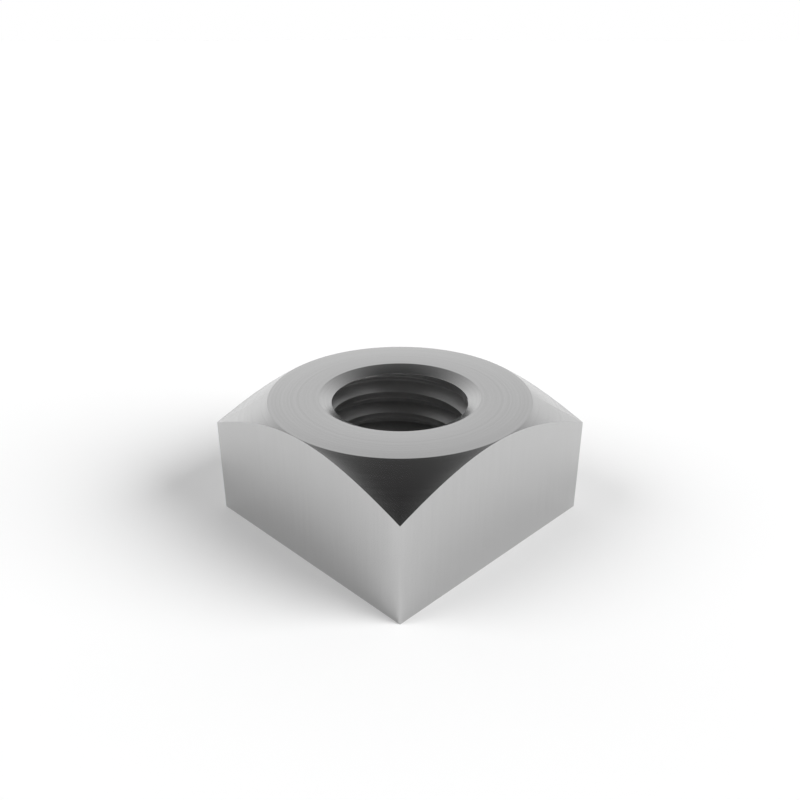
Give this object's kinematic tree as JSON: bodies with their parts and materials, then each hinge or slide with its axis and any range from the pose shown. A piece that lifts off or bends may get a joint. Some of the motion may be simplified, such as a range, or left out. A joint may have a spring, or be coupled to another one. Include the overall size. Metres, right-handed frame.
{
  "type": "square nut",
  "caption": "Plain steel square nut with a right-hand metric thread, countersunk at both ends, its upper corners turned down to a round crown.",
  "frame": {"origin": "centre of the underside, the flat bearing face, on the axis of the thread", "axes": "+Z along the thread's axis, out of the chamfered face; the four wrench flats face along X and Y"},
  "size_m": [0.013, 0.013, 0.0065],
  "materials": {
    "turned_steel": "bare machined steel, satin, with fine turning marks on the crown and chamfer"
  },
  "bodies": {
    "root": {"square_nut": "turned_steel"}
  },
  "joints": []
}
